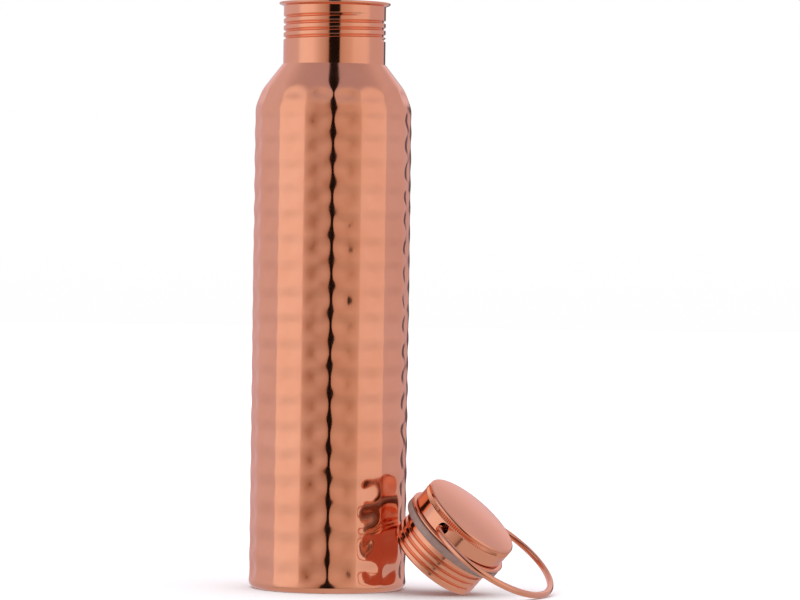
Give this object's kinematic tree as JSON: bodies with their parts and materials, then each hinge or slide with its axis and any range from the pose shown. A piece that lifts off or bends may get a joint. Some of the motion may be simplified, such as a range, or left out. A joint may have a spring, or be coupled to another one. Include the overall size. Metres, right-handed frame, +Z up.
{
  "type": "water bottle",
  "caption": "Tall hammered copper water bottle with a screw neck; its threaded cap with a gasket and a wire bail leans beside the foot and lifts to the mouth.",
  "frame": {"origin": "centre of the bottle's foot, on the surface that it stands on", "axes": "+Z up along the bottle's axis, -Y towards the side with the full-height row of hammer ridges in the middle, +X to the side where the cap lies"},
  "size_m": [0.1388, 0.107, 0.2683],
  "materials": {
    "hammered_copper": "polished copper with hammered facets",
    "bright_copper": "polished copper",
    "grey_gasket": "soft matt silicone"
  },
  "bodies": {
    "bottle": {"body_shell": "hammered_copper", "base_disc": "hammered_copper", "threaded_neck": "bright_copper"},
    "bail": {"bail_handle": "bright_copper"},
    "cap": {"cap_cover": "bright_copper", "cap_plug": "bright_copper", "cap_gasket": "grey_gasket"}
  },
  "joints": [
    {"name": "bail_lift", "type": "hinge", "parent": "bottle", "child": "bail", "pos_m": [-0.03259, 0.01485, 0.15693], "axis": [-0.4147, -0.91, 0], "range_deg": [0, 127.83]},
    {"name": "bail_hinge", "type": "hinge", "parent": "bail", "child": "cap", "pos_m": [0.06146, -0.02801, 0.03134], "axis": [0.4147, 0.91, 0], "range_deg": [0, 225]}
  ]
}
